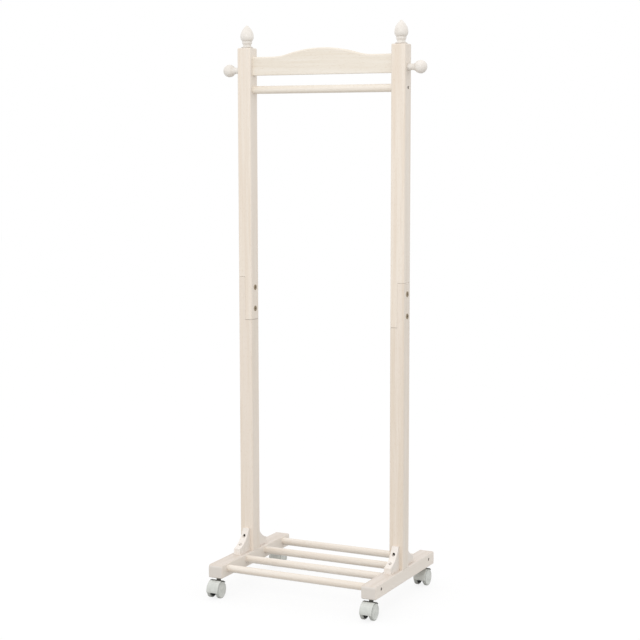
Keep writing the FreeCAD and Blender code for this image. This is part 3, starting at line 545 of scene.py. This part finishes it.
# Pale grey moulded polypropylene, faintly green.
GREY_PLASTIC = MouldedPlastic("polypropylene_pale_grey", "grey_plastic", "#D2D4CF", "#CACCC7")
# Softer polyurethane of the treads, duller, in a darker grey that is partly its own and partly painted shade
# for the shadow line where the wheel meets the hood's edge.
GREY_TREAD_SHADED = MouldedPlastic("polyurethane_mid_grey_shaded", "grey_plastic", "#BEC0BB", "#B4B6B1", roughness=0.5)
# Black moulded nylon with a matt skin, dusty grey on top where no wheel rubs it.
BLACK_NYLON = MouldedPlastic("nylon_black", "black_nylon", "#333331", "#3B3B39", roughness=0.7, ior=1.3,
                             dust_share=0.9)


@dataclass
class Workshop:
    """The loaded frame, and what every sub-assembly does with its nodes and new pieces."""

    nodes: dict[str, bpy.types.Object]

    def dress(self, node: str, finish: Finish) -> None:
        """Give a node of the frame a finish.

        Args:
            node: Name of the node.
            finish: Its new finish.
        """
        mesh = self.nodes[node].data
        mesh.materials.clear()
        mesh.materials.append(finish.material())
        LOG.info("%s: %s", node, finish.name)

    def hand_over(self, shape: bmesh.types.BMesh, name: str, finish: Finish, body: str, node: str) -> None:
        """Make a modelled shape a piece of the rack in place of a node.

        Args:
            shape: Finished shape in the rack's space, used up by this call.
            name: Name of the piece.
            finish: Its finish.
            body: Body that it rides on.
            node: Node that it replaces.
        """
        bmesh.ops.recalc_face_normals(shape, faces=shape.faces)
        mesh = bpy.data.meshes.new(name)
        shape.to_mesh(mesh)
        shape.free()
        mesh.shade_smooth()
        mesh.set_sharp_from_angle(angle=math.radians(CREASE_DEG))
        mesh.materials.append(finish.material())
        piece = bpy.data.objects.new(name, mesh)
        bpy.context.scene.collection.objects.link(piece)
        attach(piece, body)
        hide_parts(node)
        LOG.info("%s: modelled in %s, for %s", name, finish.name, node)


@dataclass(frozen=True)
class Fastener:
    """Bolt, nut or screw with a round head and a six-sided key recess; top of the head at the origin."""

    head_mm: float
    head_height_mm: float
    shank_mm: float
    length_mm: float
    rim_mm: float = 0.5
    tip_mm: float = 0.4
    key_sides: int = 6
    key_mm: float = 4.0
    key_depth_mm: float = 1.6
    mouth_mm: float = 6.0
    facets: int = 48

    def shape(self) -> bmesh.types.BMesh:
        """Turn head and shank, then sink the key recess into the head.

        Returns:
            The fastener, head up.
        """
        head, shank, mouth = (size * MM / 2 for size in (self.head_mm, self.shank_mm, self.mouth_mm))
        foot, seat, tip = -self.length_mm * MM, -self.head_height_mm * MM, self.tip_mm * MM
        profile = [(0.0, foot), (shank - tip, foot), (shank, foot + tip), (shank, seat), (head, seat),
                   (head, 0.0), (mouth, 0.0)]
        shape = lathe(profile, {profile.index((head, 0.0)): self.rim_mm * MM}, self.facets)
        rim = [edge for edge in shape.edges if edge.is_boundary]
        corner = self.key_mm * MM / 2 / math.cos(math.pi / self.key_sides)
        made = bmesh.ops.create_circle(shape, segments=self.key_sides, radius=corner)
        flats = list({edge for vert in made["verts"] for edge in vert.link_edges})
        bmesh.ops.subdivide_edges(shape, edges=flats, cuts=self.facets // self.key_sides - 1)
        mouth_edges = [edge for edge in shape.edges if edge.is_wire]
        bmesh.ops.bridge_loops(shape, edges=rim + mouth_edges)
        sunk = bmesh.ops.extrude_edge_only(shape, edges=mouth_edges)["geom"]
        floor = [part for part in sunk if isinstance(part, bmesh.types.BMVert)]
        bmesh.ops.translate(shape, vec=(0.0, 0.0, -self.key_depth_mm * MM), verts=floor)
        bmesh.ops.holes_fill(shape, edges=[edge for edge in shape.edges if edge.is_boundary])
        return shape

    def seats(self, node: str, facing: Facing, level: float | None = None) -> list[Matrix]:
        """Places of like fasteners, read from the box of the node that holds them.

        Args:
            node: Node of the group.
            facing: Way that the heads face.
            level: Distance of the heads' tops from the middle of the rack, if they aren't outermost.

        Returns:
            Place and turn of each fastener.
        """
        low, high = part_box(node)
        axis, sign = facing.value
        inset = self.head_mm * MM / 2
        spots = [sorted({round(start + inset, SEAT_DIGITS), round(end - inset, SEAT_DIGITS)})
                 for start, end in zip(low, high)]
        top = high[axis] if level is None else level
        spots[axis] = [top] if facing is Facing.UPWARD else [-top, top]
        seats = []
        for spot in itertools.product(*spots):
            direction = Vector((0.0, 0.0, 0.0))
            direction[axis] = sign * math.copysign(1.0, spot[axis])
            seats.append(pointed(Vector(spot), direction))
        return seats


@dataclass
class Uprights:
    """The posts, each of two lengths joined by a bolted half-lap, with a turned finial on top."""

    bench: Workshop
    # Grains of noise from one board to the next, so that no two look alike.
    board_step: float = 7.3
    bolt: Fastener = Fastener(15.0, 1.0, 6.0, 33.0, mouth_mm=7.0)
    sleeve_nut: Fastener = Fastener(15.0, 1.0, 8.0, 31.0, mouth_mm=7.0)

    def build(self) -> None:
        """Dress the wood and model the heads of the lap bolts and nuts."""
        for number, side in enumerate(Side):
            # The lower posts take the darker copy of the wood: painted shade towards the floor.
            for wood, node in ((UPPER_POST, "post_upper"), (LOWER_POST_SHADED, "post_lower"),
                               (TURNED_UPRIGHT, "finial")):
                board = replace(wood, name=f"{wood.name}_{side.value}", board=self.board_step * number)
                self.bench.dress(f"{node}_{side.value}", board)
        post_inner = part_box("post_upper_right")[0].x
        bolts = copies(self.bolt.shape(), self.bolt.seats("lap_bolts", Facing.OUTWARD))
        self.bench.hand_over(bolts, "lap_bolt_set", RUBBED_STEEL, FRAME_BODY, "lap_bolts")
        nut_top = post_inner - self.sleeve_nut.head_height_mm * MM
        nuts = copies(self.sleeve_nut.shape(),
                      self.sleeve_nut.seats("lap_sleeve_nuts", Facing.INWARD, nut_top))
        self.bench.hand_over(nuts, "lap_sleeve_nut_set", RUBBED_STEEL, FRAME_BODY, "lap_sleeve_nuts")


@dataclass
class Top:
    """Crest rail, hanger rod and coat pegs, with what holds them to the posts."""

    bench: Workshop
    rod_screw: Fastener = Fastener(8.5, 3.0, 4.5, 51.0, tip_mm=1.8, mouth_mm=5.2)

    def build(self) -> None:
        """Dress the wood and its hidden pins, and model the hanger rod's screws."""
        self.bench.dress("crest_rail", CREST_BOARD)
        self.bench.dress("hanger_rod", HANGER_ROD)
        for side in Side:
            self.bench.dress(f"coat_peg_{side.value}", TURNED_SIDEWAYS)
        self.bench.dress("crest_dowels", BARE_BEECH)
        self.bench.dress("peg_bolts", BLACK_ZINC)
        screws = copies(self.rod_screw.shape(), self.rod_screw.seats("hanger_rod_screws", Facing.OUTWARD))
        self.bench.hand_over(screws, "hanger_rod_screw_set", BRONZED_STEEL, FRAME_BODY, "hanger_rod_screws")


@dataclass
class Base:
    """Foot runners, shelf rods and coved braces, with their screws, dowels and caster sockets."""

    bench: Workshop
    runner_step: float = 5.1
    rod_step: float = 3.7
    shelf_screw: Fastener = Fastener(8.5, 3.0, 4.5, 49.0, tip_mm=1.8, mouth_mm=5.2)
    post_screw: Fastener = Fastener(8.5, 3.0, 4.5, 24.0, tip_mm=1.8, mouth_mm=5.2)
    runner_screw: Fastener = Fastener(8.5, 3.0, 4.5, 31.0, tip_mm=1.8, mouth_mm=5.2)

    def build(self) -> None:
        """Dress the wood and hidden pieces, and model the screws."""
        for number, side in enumerate(Side):
            board = replace(RUNNER_BOARD, name=f"{RUNNER_BOARD.name}_{side.value}",
                            board=self.runner_step * number)
            self.bench.dress(f"foot_runner_{side.value}", board)
            for end in End:
                self.bench.dress(f"brace_{end.value}_{side.value}", BRACE_BLOCK)
        for number, place in enumerate(RodPlace):
            board = replace(SHELF_ROD, name=f"{SHELF_ROD.name}_{place.value}", board=self.rod_step * number)
            self.bench.dress(f"shelf_rod_{place.value}", board)
        self.bench.dress("post_foot_dowels", replace(BARE_BEECH, name="beech_planed_upright",
                                                     grain=Grain.UPRIGHT))
        self.bench.dress("caster_sockets", WORN_ZINC)
        groups = ((self.shelf_screw, "shelf_rod_screws", Facing.OUTWARD),
                  (self.post_screw, "brace_post_screws", Facing.ENDWARD),
                  (self.runner_screw, "brace_runner_screws", Facing.UPWARD))
        for screw, node, facing in groups:
            screws = copies(screw.shape(), screw.seats(node, facing))
            name = node.removesuffix("s") + "_set"
            self.bench.hand_over(screws, name, BRONZED_STEEL, FRAME_BODY, node)


@dataclass
class Caster:
    """Twin-wheel caster: hood, discs and treads modelled as mouldings, stem, core and axle dressed."""

    bench: Workshop
    end: End
    side: Side
    hood_wall_mm: float = 1.8
    hood_round_mm: float = 0.8
    hood_round_segments: int = 3
    hood_steps: int = 40
    tread_mm: float = 2.4
    tread_round_mm: float = 2.0
    tread_fit_mm: float = 0.05
    rim_mm: float = 2.0
    dish_mm: float = 0.8
    hub_mm: float = 13.0
    gate_mm: float = 3.2
    gate_depth_mm: float = 0.4
    soft_mm: float = 0.3
    bore_mm: float = 6.1
    skin_mm: float = 2.0
    wheel_steps: int = 72

    @property
    def place(self) -> str:
        """Place of the caster, as in the names of its nodes."""
        return f"{self.end.value}_{self.side.value}"

    @property
    def axle(self) -> Vector:
        """Middle of the axle."""
        low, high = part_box(f"caster_axle_{self.place}")
        return (low + high) / 2

    def hood(self) -> bmesh.types.BMesh:
        """Sweep the hood's section round the axle, as far as the hood's box reaches.

        Returns:
            The hood in the rack's space.
        """
        low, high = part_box(f"caster_hood_{self.place}")
        outer = self.axle.y - low.y
        inner = outer - self.hood_wall_mm * MM
        back = math.acos((high.y - self.axle.y) / inner)
        front = math.pi + math.asin((self.axle.z - low.z) / outer)
        shape = bmesh.new()
        section = [shape.verts.new((x, radius * math.cos(back), radius * math.sin(back)))
                   for x, radius in ((low.x, inner), (high.x, inner), (high.x, outer), (low.x, outer))]
        for vert in section:
            vert.co += Vector((0.0, self.axle.y, self.axle.z))
        for start, end in zip(section, section[1:] + section[:1]):
            shape.edges.new((start, end))
        bmesh.ops.spin(shape, geom=shape.verts[:] + shape.edges[:], cent=self.axle, axis=(1.0, 0.0, 0.0),
                       angle=front - back, steps=self.hood_steps)
        bmesh.ops.holes_fill(shape, edges=[edge for edge in shape.edges if edge.is_boundary])
        bmesh.ops.recalc_face_normals(shape, faces=shape.faces)
        corners = [edge for edge in shape.edges if edge.calc_face_angle(0.0) > math.radians(CREASE_DEG)]
        bmesh.ops.bevel(shape, geom=corners, offset=self.hood_round_mm * MM, offset_type="OFFSET",
                        segments=self.hood_round_segments, profile=0.5, affect="EDGES", material=-1)
        return shape

    def disc(self, radius: float, width: float) -> bmesh.types.BMesh:
        """Turn the disc of a wheel: dished outer face with a hub and a gate mark, blind bore.

        Args:
            radius: Radius of the whole wheel.
            width: Its width.

        Returns:
            The disc about +Z, with its inner face at the origin.
        """
        edge = radius - (self.tread_mm + self.tread_fit_mm) * MM
        rim, dish, hub = edge - self.rim_mm * MM, self.dish_mm * MM, self.hub_mm * MM / 2
        bore, skin = self.bore_mm * MM / 2, width - self.skin_mm * MM
        gate, gate_floor = self.gate_mm * MM / 2, width - self.gate_depth_mm * MM
        profile = [(0.0, skin), (bore, skin), (bore, 0.0), (edge, 0.0), (edge, width), (rim, width),
                   (rim - dish, width - dish), (hub + dish, width - dish), (hub, width), (gate, width),
                   (gate, gate_floor), (0.0, gate_floor)]
        face = range(profile.index((edge, width)), profile.index((hub, width)) + 1)
        return lathe(profile, dict.fromkeys(face, self.soft_mm * MM), self.wheel_steps)

    def tread(self, radius: float, width: float) -> bmesh.types.BMesh:
        """Turn the tread of a wheel, a ring with round shoulders.

        Args:
            radius: Radius of the whole wheel.
            width: Its width.

        Returns:
            The tread about +Z, with its inner side at the origin.
        """
        seam = radius - self.tread_mm * MM
        shoulder = self.tread_round_mm * MM
        profile = [(seam, 0.0), (radius, 0.0), (radius, width), (seam, width), (seam, 0.0)]
        # Corners 1 and 2 are the shoulders, and 3 is the lip beside the disc.
        rounds = {1: shoulder, 2: shoulder, 3: self.soft_mm * MM}
        return lathe(profile, rounds, self.wheel_steps)

    def build_wheel(self, hand: Hand) -> None:
        """Model a wheel where its node lies.

        Args:
            hand: Which of the two wheels.
        """
        wheel = f"{self.place}_{hand.value}"
        node = f"caster_wheel_{wheel}"
        low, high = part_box(node)
        outwards = math.copysign(1.0, (low.x + high.x) / 2 - self.axle.x)
        inner_face = Vector((low.x if outwards > 0 else high.x, self.axle.y, self.axle.z))
        seat = pointed(inner_face, Vector((outwards, 0.0, 0.0)))
        radius, width = (high.z - low.z) / 2, high.x - low.x
        # The tread's darker grey is partly painted shade along the hood's edge.
        for kind, shape, finish in (("disc", self.disc(radius, width), GREY_PLASTIC),
                                    ("tread", self.tread(radius, width), GREY_TREAD_SHADED)):
            bmesh.ops.transform(shape, matrix=seat, verts=shape.verts)
            self.bench.hand_over(shape, f"wheel_{wheel}_{kind}", finish, f"wheel_{wheel}", node)

    def build(self) -> None:
        """Dress stem, core and axle, and model hood and wheels on their bodies."""
        body = f"caster_{self.place}"
        self.bench.dress(f"caster_stem_{self.place}", WORN_ZINC)
        self.bench.dress(f"caster_core_{self.place}", BLACK_NYLON)
        self.bench.dress(f"caster_axle_{self.place}", BLACK_ZINC)
        self.bench.hand_over(self.hood(), f"hood_{self.place}", GREY_PLASTIC, body,
                             f"caster_hood_{self.place}")
        for hand in Hand:
            self.build_wheel(hand)


@dataclass(frozen=True)
class Lamp:
    """Square soft box aimed at a point of the rack, in metres and watts."""

    name: str
    place: tuple[float, float, float]
    target: tuple[float, float, float]
    width: float
    watts: float

    def build(self) -> None:
        """Hang the lamp and aim it."""
        light = bpy.data.lights.new(self.name, "AREA")
        light.shape = "SQUARE"
        light.size = self.width
        light.energy = self.watts
        lamp = bpy.data.objects.new(self.name, light)
        aim = Vector(self.target) - Vector(self.place)
        turn = aim.to_track_quat("-Z", "Y").to_matrix().to_4x4()
        lamp.matrix_world = Matrix.Translation(self.place) @ turn
        lamp.visible_camera = False
        bpy.context.scene.collection.objects.link(lamp)
        LOG.info("%s: lamp of %.0f W", self.name, self.watts)


@dataclass
class Studio:
    """White room round the rack: floor, sky, a soft box and the camera of the photograph."""

    floor_reach: float = 12.0
    floor_bounce: str = "#B6B5B3"
    # The floor shows only this share of the light that falls on it, so that shadows stay faint.
    floor_share: float = 0.14
    sky: float = 1.12
    key: Lamp = Lamp("key_soft_box", (1.0, -3.4, 2.4), (0.0, 0.0, 0.9), 0.9, 24.0)
    camera_place: tuple[float, float, float] = (1.9068, -3.8832, 1.2722)
    camera_turn_deg: float = 26.251
    camera_dip_deg: float = 6.657
    camera_roll_deg: float = -0.081
    lens_mm: float = 88.43

    def shown(self, tree: bpy.types.NodeTree) -> bpy.types.NodeSocket:
        """Tell rays that show the room itself from rays that only carry its light.

        Args:
            tree: Node tree of the floor or the sky.

        Returns:
            Socket that is 1 for rays from the camera, from gloss and through glass.
        """
        path = add_node(tree, "ShaderNodeLightPath").outputs
        gloss = add_node(tree, "ShaderNodeMath", {"operation": "MAXIMUM"}, {
            0: path["Is Camera Ray"], 1: path["Is Glossy Ray"]})
        both = add_node(tree, "ShaderNodeMath", {"operation": "MAXIMUM"}, {
            0: gloss.outputs[0], 1: path["Is Transmission Ray"]})
        return both.outputs[0]

    def build_floor(self) -> None:
        """Lay a pale floor that looks white and keeps the rack's shadow."""
        shape = bmesh.new()
        bmesh.ops.create_grid(shape, x_segments=1, y_segments=1, size=self.floor_reach)
        mesh = bpy.data.meshes.new("studio_floor")
        shape.to_mesh(mesh)
        shape.free()
        paint = bpy.data.materials.new("studio_floor_white_paint")
        paint.use_nodes = True
        tree = paint.node_tree
        tree.nodes.clear()
        white = linear("#FFFFFF")
        matt = add_node(tree, "ShaderNodeBsdfDiffuse", inputs={"Color": linear(self.floor_bounce)})
        shadow = add_node(tree, "ShaderNodeBsdfDiffuse", inputs={
            "Color": (self.floor_share, self.floor_share, self.floor_share, 1.0)})
        glow = add_node(tree, "ShaderNodeEmission", inputs={
            "Color": white, "Strength": 1.0 - self.floor_share * self.sky})
        seen = add_node(tree, "ShaderNodeAddShader", inputs={0: glow.outputs[0], 1: shadow.outputs[0]})
        mixed = add_node(tree, "ShaderNodeMixShader", inputs={
            0: self.shown(tree), 1: matt.outputs[0], 2: seen.outputs[0]})
        add_node(tree, "ShaderNodeOutputMaterial", inputs={"Surface": mixed.outputs[0]})
        mesh.materials.append(paint)
        floor = bpy.data.objects.new("studio_floor", mesh)
        bpy.context.scene.collection.objects.link(floor)
        LOG.info("studio_floor: %s", paint.name)

    def build_sky(self) -> None:
        """Surround the rack with an even soft light that looks white."""
        world = bpy.data.worlds.new("studio_sky")
        world.use_nodes = True
        tree = world.node_tree
        tree.nodes.clear()
        white = linear("#FFFFFF")
        light = add_node(tree, "ShaderNodeBackground", inputs={"Color": white, "Strength": self.sky})
        seen = add_node(tree, "ShaderNodeBackground", inputs={"Color": white, "Strength": 1.0})
        mixed = add_node(tree, "ShaderNodeMixShader", inputs={
            0: self.shown(tree), 1: light.outputs[0], 2: seen.outputs[0]})
        add_node(tree, "ShaderNodeOutputWorld", inputs={"Surface": mixed.outputs[0]})
        bpy.context.scene.world = world
        LOG.info("studio_sky: strength %.2f", self.sky)

    def build_camera(self) -> None:
        """Set the camera where the photograph was taken from."""
        camera = bpy.data.objects.new("camera", bpy.data.cameras.new("camera"))
        camera.data.lens = self.lens_mm
        turn = Matrix.Rotation(math.radians(self.camera_turn_deg), 4, "Z")
        dip = Matrix.Rotation(math.radians(90.0 - self.camera_dip_deg), 4, "X")
        roll = Matrix.Rotation(math.radians(self.camera_roll_deg), 4, "Z")
        camera.matrix_world = Matrix.Translation(self.camera_place) @ turn @ dip @ roll
        bpy.context.scene.collection.objects.link(camera)
        bpy.context.scene.camera = camera
        LOG.info("camera: %.1f mm", self.lens_mm)

    def build(self) -> None:
        """Build the room and set plain colour."""
        self.build_floor()
        self.build_sky()
        self.key.build()
        self.build_camera()
        bpy.context.scene.view_settings.view_transform = "Standard"


def main() -> None:
    """Load the frame and build the rack's sub-assemblies and the studio in order."""
    logging.basicConfig(level=logging.INFO, format="%(message)s")
    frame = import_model()
    bench = Workshop(frame["nodes"])
    Uprights(bench).build()
    Top(bench).build()
    Base(bench).build()
    for side, end in itertools.product(Side, End):
        Caster(bench, end, side).build()
    Studio().build()


if __name__ == "__main__":
    main()
